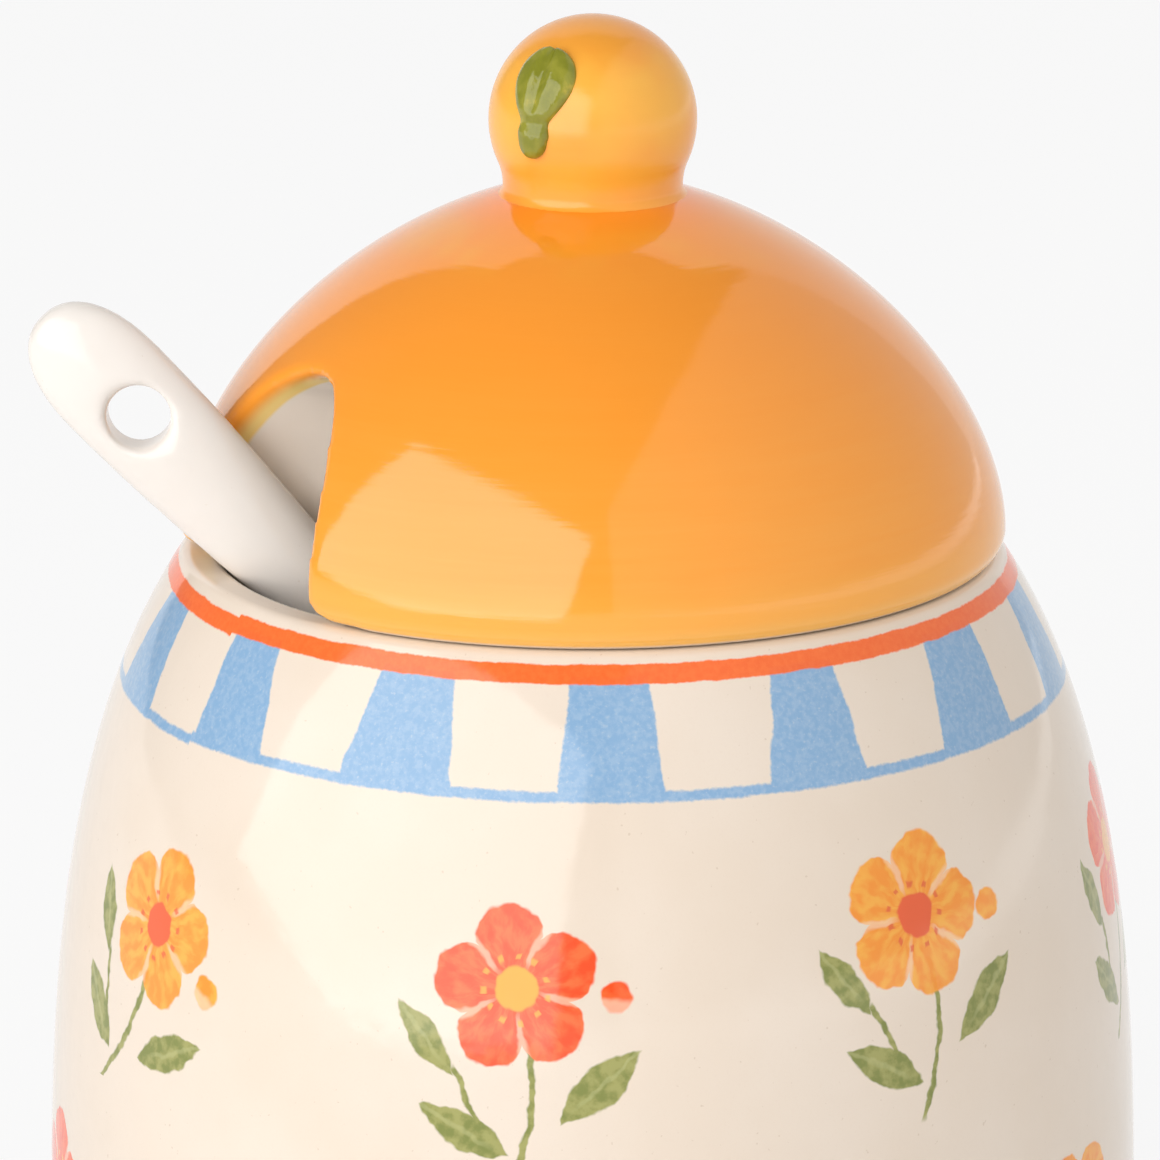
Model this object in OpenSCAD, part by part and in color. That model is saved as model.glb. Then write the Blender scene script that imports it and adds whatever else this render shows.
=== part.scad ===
// Lidded ceramic pot with a knobbed dome lid and a spoon that stands in the lid's notch.
// Millimetres. The pot's axis is Z, the foot stands on z = 0 and the front faces -Y.

/* [Pot] */
// Height of the pot from the foot to the top of the lip
pot_h = 85; // [75:0.5:100]
// Outside diameter at the belly
pot_d = 100; // [90:0.5:115]
// Height of the belly's widest level above the foot
belly_z = 14.2; // [10:0.1:24]
// Outside diameter that the wall curve reaches at the top of the lip
rim_d = 73.6; // [66:0.2:80]
// Fullness of the wall curve, 2 for an ellipse and more for a squarer shoulder
pot_full = 2.8; // [2:0.05:3.4]
// Wall thickness at the belly
pot_wall = 4.5; // [3.5:0.1:6]
// Thickness of the lip at the mouth
lip_t = 3.1; // [2.6:0.1:4.5]
// Outer diameter of the foot
foot_d = 79; // [68:0.5:90]
// Width of the ring that the pot stands on
foot_ring = 6; // [4:0.5:10]
// Depth of the recess inside the foot ring
foot_recess = 1.8; // [1:0.1:3]
// Thickness of the floor
floor_t = 4.2; // [3:0.1:6]
// Radius of the inside corner between floor and wall
floor_r = 12; // [8:0.5:16]

/* [Lid] */
// Largest diameter of the lid
lid_d = 74.5; // [68:0.1:80]
// Height of the whole dome curve above the lid's rounded edge
lid_rise = 31.8; // [26:0.1:38]
// Fullness of the dome curve
lid_full = 1.72; // [1.5:0.02:2.2]
// Radius of the lid's rounded lower edge
lid_edge = 1.9; // [1.2:0.1:2.4]
// Wall thickness of the dome under the knob
lid_wall = 4; // [3:0.1:5]
// Depth that the lid's locating flange reaches into the mouth
flange_h = 6; // [4:0.5:9]
// Wall thickness of the flange
flange_t = 3; // [2.2:0.1:4]
// Gap between the flange and the mouth
flange_gap = 0.7; // [0.3:0.1:1.2]

/* [Notch] */
// Half width of the spoon notch above its rounded corners
notch_w = 12.5; // [11:0.1:15]
// Height of the notch above the lid's seat
notch_h = 19.7; // [17:0.1:23]
// Radius of the corner between the notch's front side and the lid's edge
notch_corner = 2.5; // [1.5:0.1:3]
// Radius of the wider corner on the notch's side next to the spoon
notch_relief = 5.2; // [3:0.1:6]
// Fullness of the notch's arch
notch_full = 1.85; // [1.6:0.05:2.4]
// Angle by which the notch's middle lies in front of the spoon, about the pot's axis
notch_ahead = 11.5; // [9:0.5:14]

/* [Knob and leaf] */
// Diameter of the knob's ball
ball_d = 18.6; // [16:0.1:22]
// Diameter of the knob's neck
neck_d = 16.1; // [14:0.1:16.6]
// Height of the ball's middle above the land on the dome
ball_h = 6.7; // [6.4:0.1:8]
// Height of the narrowest level of the neck above the land
neck_h = 0.8; // [0.4:0.1:1.2]
// Length of the leaf's blade
leaf_l = 7; // [6:0.1:9]
// Width of the leaf's blade
leaf_w = 5.8; // [3.5:0.1:6]
// Height by which the leaf stands out of the ball
leaf_t = 0.9; // [0.6:0.1:1.4]
// Width of the leaf's stalk
stalk_w = 2.9; // [1.8:0.1:3.2]
// Length of the stalk below the blade
stalk_l = 2.6; // [2:0.1:3.4]

/* [Spoon] */
// Distance of the spoon's middle plane in front of the pot's axis
spoon_off = 10.9; // [10:0.1:13]
// Lean of the spoon from the vertical
spoon_lean = 43.5; // [38:0.5:46]
// Thickness of the spoon's handle
handle_t = 5.4; // [4.6:0.1:5.8]
// Half width of the handle at its hole
handle_w = 5.55; // [4.8:0.05:6]
// Half width of the handle at its neck
handle_neck = 3.5; // [3:0.05:4.2]
// Length over which the handle narrows to its neck
handle_taper = 38; // [30:1:46]
// Half thickness of the handle across its softened long edges
handle_soft = 4.3; // [3.8:0.1:4.8]
// Distance from the hole to the handle's end
handle_end = 12; // [10:0.1:13]
// Distance along the handle from the hole to where it rests on the lip
hole_to_lip = 16.3; // [15:0.1:20]
// Diameter of the hanging hole
hole_d = 6; // [4:0.1:6.4]
// Half length of the bowl
bowl_l = 17; // [14:0.5:18]
// Half width of the bowl
bowl_w = 10.2; // [8:0.1:11]
// Depth of the bowl outside
bowl_h = 7.3; // [6:0.1:8]
// Wall thickness of the bowl
bowl_wall = 2.2; // [1.6:0.1:2.6]
// Gap between the spoon and the pot where it rests
rest_gap = 0.3; // [0.2:0.05:0.6]

/* [Hidden] */
$fn = 96;
over = 1;

// The radius factor of a rounded curve at a height factor u. It is its own inverse.
function bulge(u, full) = pow(1 - pow(u, full), 1 / full);

// Points of a circular arc, from angle a0 to angle a1 in n steps
function arc(cx, cz, r, a0, a1, n) = [
    for (i = [0:n])
        let (a = a0 + (a1 - a0) * i / n)
        [cx + r * cos(a), cz + r * sin(a)]
];

// Points of a rounded curve of half width w and rise h above z0, between two height factors
function rise(w, h, z0, full, u0, u1, n) =
    let (a0 = asin(pow(u0, full / 2)), a1 = asin(pow(u1, full / 2)))
    [
        for (i = [0:n])
            let (a = a0 + (a1 - a0) * i / n)
            [w * pow(cos(a), 2 / full), z0 + h * pow(sin(a), 2 / full)]
    ];

// Pot: the outside curve and the heel under it
belly_r = pot_d / 2;
pot_rise = (pot_h - belly_z) / bulge(rim_d / pot_d, pot_full);
heel_in = belly_r - foot_d / 2;
heel_r = (heel_in * heel_in + belly_z * belly_z) / (2 * heel_in);
heel_a = asin(belly_z / heel_r);

// Pot: the lip, rounded outside to meet the wall curve and rounded inside to meet the mouth
lip_out = 1.2;
lip_in = 1;
lip_u = (pot_h - lip_out / 2 - belly_z) / pot_rise;
lip_tilt = atan2(pow(lip_u, pot_full - 1) / pot_rise, pow(bulge(lip_u, pot_full), pot_full - 1) / belly_r);
lip_top_u = (pot_h - lip_out * (1 - sin(lip_tilt)) - belly_z) / pot_rise;
lip_c = belly_r * bulge(lip_top_u, pot_full) - lip_out * cos(lip_tilt);
mouth_r = rim_d / 2 - lip_t;

// Pot: the inside curve, from the corner arc at the floor to the mouth
floor_z = foot_recess + floor_t;
in_r = belly_r - pot_wall;
in_z = floor_z + floor_r;
in_rise = (pot_h - lip_in - in_z) / bulge(mouth_r / in_r, pot_full);

// Lid: seated on the lip, with its flange in the mouth
seat_z = pot_h;
lid_r = lid_d / 2;
dome_z = seat_z + lid_edge;
flange_r = mouth_r - flange_gap;
flange_in = flange_r - flange_t;

// Knob: a ball on a neck whose hollow curve is tangent to the ball
ball_r = ball_d / 2;
neck_r = neck_d / 2;
neck_drop = ball_h - neck_h;
neck_cove = (neck_r * neck_r + neck_drop * neck_drop - ball_r * ball_r) / (2 * (ball_r - neck_r));
neck_mid = neck_r + neck_cove;
tangent_z = ball_h - neck_drop * ball_r / (ball_r + neck_cove);
knob_base = neck_mid - sqrt(neck_cove * neck_cove - neck_h * neck_h);
land_r = knob_base + 0.2;
land_u = bulge(land_r / lid_r, lid_full);
land_z = dome_z + lid_rise * land_u;
ball_z = land_z + ball_h;

// Lid: the hollow rises straight from the flange and leaves the wall under the knob
dome_in_h = land_z - lid_wall - dome_z;

// Leaf: direction from the ball's middle to the blade's middle, and the turn of the blade there
leaf_left = 35.3;
leaf_up = 28;
leaf_turn = 3.9;

// Spoon: half width of the handle at a distance s from the hole
handle_ease_s = -3;
function ease(s) = min(1, max(0, (s - handle_ease_s) / handle_taper));
function handle_at(s) = handle_neck + (handle_w - handle_neck) * (1 + cos(180 * ease(s))) / 2;
end_full = 2.2;
soft_turn = 40;

// Spoon: the axis passes over the lip's inner rounding with the rest gap under the handle
lip_x = -sqrt(pow(mouth_r + lip_in, 2) - pow(spoon_off, 2));
axis_over = lip_in + rest_gap + handle_at(hole_to_lip);
hole_x = lip_x + axis_over * cos(spoon_lean) - hole_to_lip * sin(spoon_lean);
hole_z = pot_h - lip_in + axis_over * sin(spoon_lean) + hole_to_lip * cos(spoon_lean);

// Spoon: the bowl's middle lies as deep as the far wall and the floor let it
bowl_side = sqrt(pow(bowl_l * sin(spoon_lean), 2) + pow(bowl_w * cos(spoon_lean), 2));
bowl_down = sqrt(pow(bowl_l * cos(spoon_lean), 2) + pow(bowl_w * sin(spoon_lean), 2));
bowl_far = sqrt(pow(in_r, 2) - pow(spoon_off + handle_t / 2, 2));
to_wall = (bowl_far - rest_gap - bowl_side - hole_x) / sin(spoon_lean);
to_floor = (hole_z - floor_z - rest_gap - bowl_down) / cos(spoon_lean);
bowl_s = min(to_wall, to_floor) - 0.6;

// Spoon: the bowl is part of an egg that lies along the handle and is cut open above its middle
egg_up = (pow(bowl_w, 2) - pow(bowl_h, 2)) / (2 * bowl_h);
egg_r = bowl_h + egg_up;
egg_l = bowl_l / sqrt(1 - pow(egg_up / egg_r, 2));
bowl_open = 1;

// Notch: in front of the spoon's plane, so that the handle leaves through its left part
notch_az = asin(spoon_off / (mouth_r + lip_in)) + notch_ahead;

module jar_body() {
    color([0.94, 0.91, 0.86])
    rotate_extrude()
    polygon(concat(
        [[0, foot_recess], [foot_d / 2 - foot_ring - foot_recess, foot_recess], [foot_d / 2 - foot_ring, 0]],
        arc(belly_r - heel_r, belly_z, heel_r, -heel_a, 0, 5),
        [for (p = rise(belly_r, pot_rise, belly_z, pot_full, 0, lip_top_u, 11)) if (p[1] > belly_z + 1) p],
        [for (p = arc(lip_c, pot_h - lip_out, lip_out, lip_tilt, 90, 2)) if (p[1] > pot_h - 0.5) p],
        arc(mouth_r + lip_in, pot_h - lip_in, lip_in, 90, 180, 2),
        [
            for (p = rise(in_r, in_rise, in_z, pot_full, bulge(mouth_r / in_r, pot_full), 0, 9))
                if (p[1] > in_z + 1 && p[1] < pot_h - lip_in - 1) p
        ],
        arc(in_r - floor_r, in_z, floor_r, 0, -90, 5),
        [[0, floor_z]]
    ));
}

// One side of the notch, from below the flange round its corner and up to the top of the arch
function notch_side(corner) = concat(
    [[notch_w + corner, seat_z - flange_h - over]],
    arc(notch_w + corner, seat_z + corner, corner, 270, 180, 5),
    [
        for (p = rise(notch_w, notch_h - corner, seat_z + corner, notch_full, 0, 1, 14))
            if (p[1] > seat_z + corner + 0.4) p
    ]
);

// Outline of the notch as seen along its own radius
module notch_outline() {
    back = notch_side(notch_relief);
    polygon(concat(
        notch_side(notch_corner),
        [for (i = [len(back) - 2:-1:0]) [-back[i][0], back[i][1]]]
    ));
}

module lid_dome() {
    color([0.98, 0.6, 0.14])
    difference() {
        rotate_extrude()
        polygon(concat(
            [[0, land_z]],
            rise(lid_r, lid_rise, dome_z, lid_full, land_u, 0, 18),
            [for (p = arc(lid_r - lid_edge, dome_z, lid_edge, 0, -90, 4)) if (p[1] < dome_z - 0.1) p],
            [[flange_r, seat_z], [flange_r, seat_z - flange_h + 1], [flange_r - 1, seat_z - flange_h]],
            [[flange_in + 0.6, seat_z - flange_h], [flange_in, seat_z - flange_h + 0.6], [flange_in, seat_z]],
            rise(flange_in, dome_in_h, dome_z, lid_full, 0, 1, 14)
        ));
        rotate([0, 0, 180 + notch_az])
        translate([lid_r / 3, 0, 0])
        rotate([90, 0, 90])
        linear_extrude(lid_r)
        notch_outline();
    }
}

module lid_knob() {
    color([0.99, 0.63, 0.16])
    translate([0, 0, land_z])
    rotate_extrude()
    union() {
        difference() {
            square([neck_mid, tangent_z]);
            translate([neck_mid, neck_h])
            circle(neck_cove);
        }
        intersection() {
            translate([0, ball_h])
            circle(ball_r);
            translate([0, tangent_z])
            square([2 * ball_r, 2 * ball_d]);
        }
    }
}

// Outline of the leaf, its blunt tip towards -X and its stalk towards +X
module leaf_outline() {
    side = (pow(leaf_l / 2, 2) + pow(leaf_w / 2, 2)) / leaf_w;
    intersection() {
        translate([0, side - leaf_w / 2])
        circle(side);
        translate([0, leaf_w / 2 - side])
        circle(side);
    }
    translate([leaf_l / 2 - stalk_w / 2, -stalk_w / 2])
    square([stalk_l, stalk_w]);
    translate([leaf_l / 2 + stalk_l - stalk_w / 2, 0])
    circle(stalk_w / 2);
}

module leaf_sprig() {
    color([0.42, 0.56, 0.2])
    translate([0, 0, ball_z])
    rotate([0, 0, -90 - leaf_left])
    rotate([0, 90 - leaf_up, 0])
    rotate([0, 0, leaf_turn])
    intersection() {
        difference() {
            sphere(ball_r + leaf_t);
            sphere(ball_r);
        }
        translate([0, 0, over])
        linear_extrude(ball_d)
        leaf_outline();
    }
}

// Turns a profile of distance along the handle against radius into a bar along +X
module along_handle() {
    rotate([0, 90, 0])
    rotate_extrude()
    children();
}

// An egg along the handle, smaller than the bowl's outside by the given wall
module egg(wall) {
    translate([bowl_s, 0, bowl_open + egg_up])
    along_handle()
    polygon([
        for (i = [0:18])
            let (a = -90 + 10 * i)
            [i == 0 || i == 18 ? 0 : (egg_r - wall) * cos(a), (egg_l - wall) * sin(a)]
    ]);
}

// A slab along the handle that cuts flat faces on the bar
module handle_slab(thick) {
    translate([-handle_end - over, -2 * bowl_w, -thick / 2])
    cube([bowl_s + handle_end + over, 4 * bowl_w, thick]);
}

// The spoon along +X from its hole, with the bowl's hollow towards +Z
module spoon_shape() {
    difference() {
        union() {
            intersection() {
                along_handle()
                polygon(concat(
                    [for (p = rise(handle_w, handle_end + handle_ease_s, 0, end_full, 1, 0, 9))
                        [p[0], handle_ease_s - p[1]]],
                    [for (i = [1:16]) let (s = handle_ease_s + i * handle_taper / 16) [handle_at(s), s]],
                    [[handle_neck, bowl_s - bowl_l + bowl_wall + over], [0, bowl_s - bowl_l + bowl_wall + over]]
                ));
                handle_slab(handle_t);
                rotate([soft_turn, 0, 0])
                handle_slab(2 * handle_soft);
                rotate([-soft_turn, 0, 0])
                handle_slab(2 * handle_soft);
            }
            intersection() {
                egg(0);
                translate([bowl_s - egg_l, -egg_r, bowl_open - egg_r])
                cube([2 * egg_l, 2 * egg_r, egg_r]);
            }
        }
        egg(bowl_wall);
        translate([0, 0, -handle_t])
        cylinder(d = hole_d, h = 2 * handle_t);
    }
}

module spoon() {
    color([0.96, 0.95, 0.93])
    translate([hole_x, -spoon_off, hole_z])
    rotate([0, 90 - spoon_lean, 0])
    rotate([90, 0, 0])
    spoon_shape();
}

jar_body();
lid_dome();
lid_knob();
leaf_sprig();
spoon();
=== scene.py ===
import math
import bpy
import bmesh
import numpy as np
from mathutils import Matrix, Vector


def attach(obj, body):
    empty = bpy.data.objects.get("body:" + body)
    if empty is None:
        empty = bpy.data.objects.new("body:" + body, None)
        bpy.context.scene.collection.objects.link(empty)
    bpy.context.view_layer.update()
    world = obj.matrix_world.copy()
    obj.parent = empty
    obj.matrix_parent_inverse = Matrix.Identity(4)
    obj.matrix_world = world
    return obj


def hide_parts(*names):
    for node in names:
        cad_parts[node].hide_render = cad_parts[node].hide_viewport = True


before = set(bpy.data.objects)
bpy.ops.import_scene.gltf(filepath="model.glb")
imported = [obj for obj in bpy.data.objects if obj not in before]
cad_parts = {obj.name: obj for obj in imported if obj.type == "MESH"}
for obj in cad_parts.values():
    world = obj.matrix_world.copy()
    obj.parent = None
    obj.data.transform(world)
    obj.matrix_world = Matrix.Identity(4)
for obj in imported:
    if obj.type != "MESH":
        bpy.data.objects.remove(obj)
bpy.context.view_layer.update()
mm = 0.001
weld = 4e-7  # points closer than this are one, in metres
weightSteps = 16
print("frame loaded:", sorted(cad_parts))


# curves shared by the turned pieces, in millimetres

def bulge(u, full):
    return max(0.0, 1 - u ** full) ** (1 / full)


def arcPoints(cx, cz, r, start, end, count):
    angles = [math.radians(start + (end - start) * i / count) for i in range(count + 1)]
    return [(cx + r * math.cos(a), cz + r * math.sin(a)) for a in angles]


def risePoints(width, height, z0, full, fromU, toU, count):
    a0, a1 = (math.asin(u ** (full / 2)) for u in (fromU, toU))
    angles = [a0 + (a1 - a0) * i / count for i in range(count + 1)]
    return [(width * max(0.0, math.cos(a)) ** (2 / full), z0 + height * math.sin(a) ** (2 / full))
            for a in angles]


# modelling steps

def startPoint(name, place):  # a plane merged to one point, left in edit mode
    bpy.ops.object.select_all(action="DESELECT")
    bpy.ops.mesh.primitive_plane_add(size=2 * mm)
    piece = bpy.context.object
    piece.name = piece.data.name = name
    bpy.ops.object.mode_set(mode="EDIT")
    bpy.ops.mesh.select_all(action="SELECT")
    bpy.ops.mesh.merge(type="CENTER")
    bpy.ops.transform.translate(value=place)
    return piece


def drawLine(points):  # extrudes the selected point from place to place
    for here, there in zip(points, points[1:]):
        bpy.ops.mesh.extrude_vertices_move(TRANSFORM_OT_translate={"value": there - here})


def turnOnWheel(name, profile, steps):  # profile of (radius, height), turned round Z
    points = [Vector((r, 0, z)) * mm for r, z in profile]
    piece = startPoint(name, points[0])
    drawLine(points)
    bpy.ops.mesh.select_all(action="SELECT")
    bpy.ops.mesh.spin(steps=steps, angle=2 * math.pi, use_auto_merge=True, center=(0, 0, 0), axis=(0, 0, 1))
    bpy.ops.mesh.select_all(action="SELECT")
    bpy.ops.mesh.remove_doubles(threshold=weld)
    bpy.ops.mesh.normals_make_consistent(inside=False)
    bpy.ops.object.mode_set(mode="OBJECT")
    bpy.ops.object.shade_smooth()
    return piece


def takeUp(piece):  # makes the piece the only selected and the active one
    bpy.ops.object.select_all(action="DESELECT")
    piece.select_set(True)
    bpy.context.view_layer.objects.active = piece


def work(piece, kind, **settings):  # adds a modifier and applies it
    takeUp(piece)
    modifier = piece.modifiers.new(kind.title(), kind)
    for key, value in settings.items():
        setattr(modifier, key, value)
    bpy.ops.object.modifier_apply(modifier=modifier.name)


def putAway(*tools):
    for tool in tools:
        bpy.data.objects.remove(tool)


def weigh(piece, name, weights):  # a vertex group from one weight per vertex
    group = piece.vertex_groups.new(name=name)
    for level in range(1, weightSteps + 1):
        chosen = np.nonzero(np.round(weights * weightSteps) == level)[0]
        if len(chosen):
            group.add(chosen.tolist(), level / weightSteps, "REPLACE")
    return name


def easeStep(low, high, values):
    t = np.clip((values - low) / (high - low), 0, 1)
    return t * t * (3 - 2 * t)


def places(piece):
    flat = np.zeros(len(piece.data.vertices) * 3)
    piece.data.vertices.foreach_get("co", flat)
    return flat.reshape(-1, 3) / mm


# shader maths

class Wire:  # one socket, with the operators that the glazes use
    def __init__(self, glaze, socket):
        self.glaze = glaze
        self.socket = socket

    def math(self, operation, *others):
        inputs = dict(enumerate((self, *others)))
        return self.glaze.node("ShaderNodeMath", {"operation": operation}, inputs)

    def __add__(self, other):
        return self.math("ADD", other)

    __radd__ = __add__

    def __mul__(self, other):
        return self.math("MULTIPLY", other)

    __rmul__ = __mul__

    def __sub__(self, other):
        return self.math("SUBTRACT", other)

    def __rsub__(self, other):
        return (self * -1) + other

    def __truediv__(self, other):
        return self.math("DIVIDE", other)

    def __pow__(self, other):
        return self.math("POWER", other)

    def __neg__(self):
        return self * -1

    def __abs__(self):
        return self.math("ABSOLUTE")

    def over(self, low, high):  # 0 below low, 1 above high, eased between
        return self.glaze.node("ShaderNodeMapRange", {"interpolation_type": "SMOOTHSTEP"},
                               {"Value": self, "From Min": low, "From Max": high})

    def under(self, low, high):
        return 1 - self.over(low, high)

    def between(self, low, high, soft):
        return self.over(low - soft, low + soft) * self.under(high - soft, high + soft)


class Glaze:  # one material and its nodes
    def __init__(self, name, **finish):
        self.material = bpy.data.materials.new(name)
        self.material.use_nodes = True
        self.tree = self.material.node_tree
        self.surface = self.tree.nodes["Principled BSDF"]
        for socket, value in finish.items():
            self.surface.inputs[socket.replace("_", " ")].default_value = value
        inMetres = self.node("ShaderNodeTexCoord", {}, {}, "Object")
        self.place = self.node("ShaderNodeVectorMath", {"operation": "SCALE"}, {0: inMetres, "Scale": 1 / mm})
        self.x, self.y, self.z = (
            self.node("ShaderNodeSeparateXYZ", {}, {0: self.place}, axis) for axis in "XYZ")
        self.round = (self.x * self.x + self.y * self.y).math("SQRT")  # distance from the axis
        self.turn = self.x.math("ARCTAN2", -self.y) * (180 / math.pi)  # degrees right of the front

    def node(self, kind, settings, links, out=0):
        made = self.tree.nodes.new(kind)
        for key, value in settings.items():
            setattr(made, key, value)
        for key, value in links.items():
            if isinstance(value, Wire):
                self.tree.links.new(value.socket, made.inputs[key])
            else:
                made.inputs[key].default_value = value
        return Wire(self, made.outputs[out])

    def spot(self, x, y, z):
        return self.node("ShaderNodeCombineXYZ", {}, {"X": x, "Y": y, "Z": z})

    def grain(self, place, scale, detail=2.0, roughness=0.5):  # noise from 0 to 1
        return self.node("ShaderNodeTexNoise", {}, {"Vector": place, "Scale": scale, "Detail": detail,
                                                    "Roughness": roughness}, "Fac")

    def chance(self, number, seed):  # one random value from 0 to 1 for a whole number
        return self.node("ShaderNodeTexWhiteNoise", {"noise_dimensions": "2D"},
                         {"Vector": self.spot(number, seed, 0)}, "Value")

    def blend(self, share, under, over):  # colours
        links = {0: share}
        for socket, colour in ((6, under), (7, over)):  # a Mix node's colour sockets
            links[socket] = (*colour, 1) if isinstance(colour, tuple) else colour
        return self.node("ShaderNodeMix", {"data_type": "RGBA"}, links, 2)

    def give(self, **sockets):
        for key, value in sockets.items():
            self.tree.links.new(value.socket, self.surface.inputs[key.replace("_", " ")])

    def bump(self, height, strength, distance):
        self.give(Normal=self.node("ShaderNodeBump", {}, {"Height": height, "Strength": strength,
                                                          "Distance": distance}))


# the pot

pot = {
    "height": 85.0, "belly": 50.0, "bellyZ": 14.2, "rim": 36.8, "full": 2.8, "wall": 4.5, "lip": 3.1,
    "foot": 39.5, "footRing": 6.0, "recess": 1.8, "floor": 4.2, "corner": 12.0, "lipOut": 1.2, "lipIn": 1.0,
    "recessRound": 0.9, "recessSlope": 2.6, "ringInRound": 0.6, "ringOutRound": 0.7, "heelFrom": 0.9,
    "outerSteps": 64, "innerSteps": 44, "heelSteps": 22, "cornerSteps": 16, "lipSteps": 8, "steps": 192,
}
potRise = (pot["height"] - pot["bellyZ"]) / bulge(pot["rim"] / pot["belly"], pot["full"])


def makePot():
    p = pot
    heelIn = p["belly"] - p["foot"]
    heel = (heelIn ** 2 + p["bellyZ"] ** 2) / (2 * heelIn)
    heelTurn = math.degrees(math.asin(p["bellyZ"] / heel))
    lipU = (p["height"] - p["lipOut"] / 2 - p["bellyZ"]) / potRise
    lipTilt = math.degrees(math.atan2(lipU ** (p["full"] - 1) / potRise,
                                      bulge(lipU, p["full"]) ** (p["full"] - 1) / p["belly"]))
    topU = (p["height"] - p["lipOut"] * (1 - math.sin(math.radians(lipTilt))) - p["bellyZ"]) / potRise
    lipMid = p["belly"] * bulge(topU, p["full"]) - p["lipOut"] * math.cos(math.radians(lipTilt))
    mouth = p["rim"] - p["lip"]
    floorZ = p["recess"] + p["floor"]
    inside = p["belly"] - p["wall"]
    insideZ = floorZ + p["corner"]
    insideU = bulge(mouth / inside, p["full"])
    insideRise = (p["height"] - p["lipIn"] - insideZ) / insideU
    footIn = p["foot"] - p["footRing"]
    outer = risePoints(p["belly"], potRise, p["bellyZ"], p["full"], 0, topU, p["outerSteps"])
    inner = risePoints(inside, insideRise, insideZ, p["full"], insideU, 0, p["innerSteps"])
    heelArc = arcPoints(p["belly"] - heel, p["bellyZ"], heel, -heelTurn, 0, p["heelSteps"])
    recessRound, ringIn, ringOut = p["recessRound"], p["ringInRound"], p["ringOutRound"]
    profile = [(0, p["recess"]), (12, p["recess"]), (24, p["recess"])]
    profile += arcPoints(footIn - p["recessSlope"], p["recess"] - recessRound, recessRound, 90, 45, 4)
    profile += arcPoints(footIn + 0.5, ringIn, ringIn, 225, 270, 4)
    profile += [(footIn + 2, 0), (footIn + 4, 0)]
    profile += arcPoints(p["foot"] - 0.75, ringOut, ringOut, 270, 325, 5)
    profile += [q for q in heelArc if q[1] > p["heelFrom"]]
    profile += [q for q in outer if q[1] > p["bellyZ"] + 0.5]
    profile += arcPoints(lipMid, p["height"] - p["lipOut"], p["lipOut"], lipTilt, 90, p["lipSteps"])[1:]
    profile += arcPoints(mouth + p["lipIn"], p["height"] - p["lipIn"], p["lipIn"], 90, 180, p["lipSteps"])
    profile += [q for q in inner if insideZ + 0.5 < q[1] < p["height"] - p["lipIn"] - 0.4]
    profile += arcPoints(inside - p["corner"], insideZ, p["corner"], 0, -90, p["cornerSteps"])
    profile += [(22, floorZ), (11, floorZ), (0, floorZ)]
    return turnOnWheel("potBody", profile, p["steps"])


# the lid

lid = {
    "seat": 85.0, "radius": 37.25, "rise": 31.8, "full": 1.72, "edge": 1.9, "wall": 4.0, "landRadius": 8.306,
    "flange": 33.0, "flangeWall": 3.0, "flangeDepth": 6.0,
    "notchHalf": 12.2, "notchFront": 11.1, "notchTop": 20.7, "notchCorner": 2.5, "notchRelief": 7.8,
    "notchFull": 1.85, "notchTurn": 29.81, "collar": 3.7, "collarIn": 17.0, "collarFoot": 86.2,
    "coreShare": 0.965, "coreUnder": 1, "coreTop": 1.5, "flareFrom": 34.8, "flare": 0.025, "flareUp": 0.012,
    "roundVoxel": 0.28, "rounding": 60, "nearNotch": (2.0, 3.6), "offNotch": (2.6, 4.2), "voxel": 0.5,
    "archSteps": 40, "domeSteps": 90, "insideSteps": 60, "steps": 360,
}
lidBase = lid["seat"] + lid["edge"]
landZ = lidBase + lid["rise"] * bulge(lid["landRadius"] / lid["radius"], lid["full"])
notchTurn = math.radians(lid["notchTurn"])
notchOut = Vector((-math.cos(notchTurn), -math.sin(notchTurn), 0))
notchAcross = Vector((-notchOut.y, notchOut.x, 0))


def notchSide(half, corner):  # (across, height), from below the flange to the top of the arch
    archZ = lid["seat"] + corner
    foot = half + corner
    side = [(foot, lid["seat"] - lid["flangeDepth"] - 1)]
    side += arcPoints(foot, archZ, corner, 270, 180, 10)
    arch = risePoints(half, lid["notchTop"] - corner, archZ, lid["notchFull"], 0, 1, lid["archSteps"])
    return side + [q for q in arch if q[1] > archZ + 0.3]


def notchOutline():
    front = notchSide(lid["notchFront"], lid["notchCorner"])
    back = notchSide(lid["notchHalf"], lid["notchRelief"])
    return front + [(-across, z) for across, z in back[-2::-1]]


def notchShare(out, flare):  # the notch narrows inwards, on its spoon side and at its top
    return 1 + (out - lid["flareFrom"]) * lid[flare]


def makeBar(name, outline, start, end, flared):  # an outline of (across, height), drawn along the notch
    points = [Vector((-across, end, z)) * mm for across, z in outline]
    bar = startPoint(name, points[0])
    drawLine(points)
    bpy.ops.mesh.select_all(action="SELECT")
    bpy.ops.mesh.edge_face_add()
    corner = (-lid["notchFront"] * mm, 0, lid["seat"] * mm)
    wide, high = (notchShare(end, flare) if flared else 1 for flare in ("flare", "flareUp"))
    bpy.ops.transform.resize(value=(wide, 1, high), center_override=corner)
    bpy.ops.mesh.extrude_region_move(TRANSFORM_OT_translate={"value": (0, (start - end) * mm, 0)})
    wideIn, highIn = (notchShare(start, flare) if flared else 1 for flare in ("flare", "flareUp"))
    bpy.ops.transform.resize(value=(wideIn / wide, 1, highIn / high), center_override=corner)
    bpy.ops.mesh.select_all(action="SELECT")
    bpy.ops.mesh.normals_make_consistent(inside=False)
    bpy.ops.object.mode_set(mode="OBJECT")
    bar.rotation_euler.z = math.radians(90 + lid["notchTurn"])
    takeUp(bar)
    bpy.ops.object.transform_apply(location=True, rotation=True, scale=True)
    return bar


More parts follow.
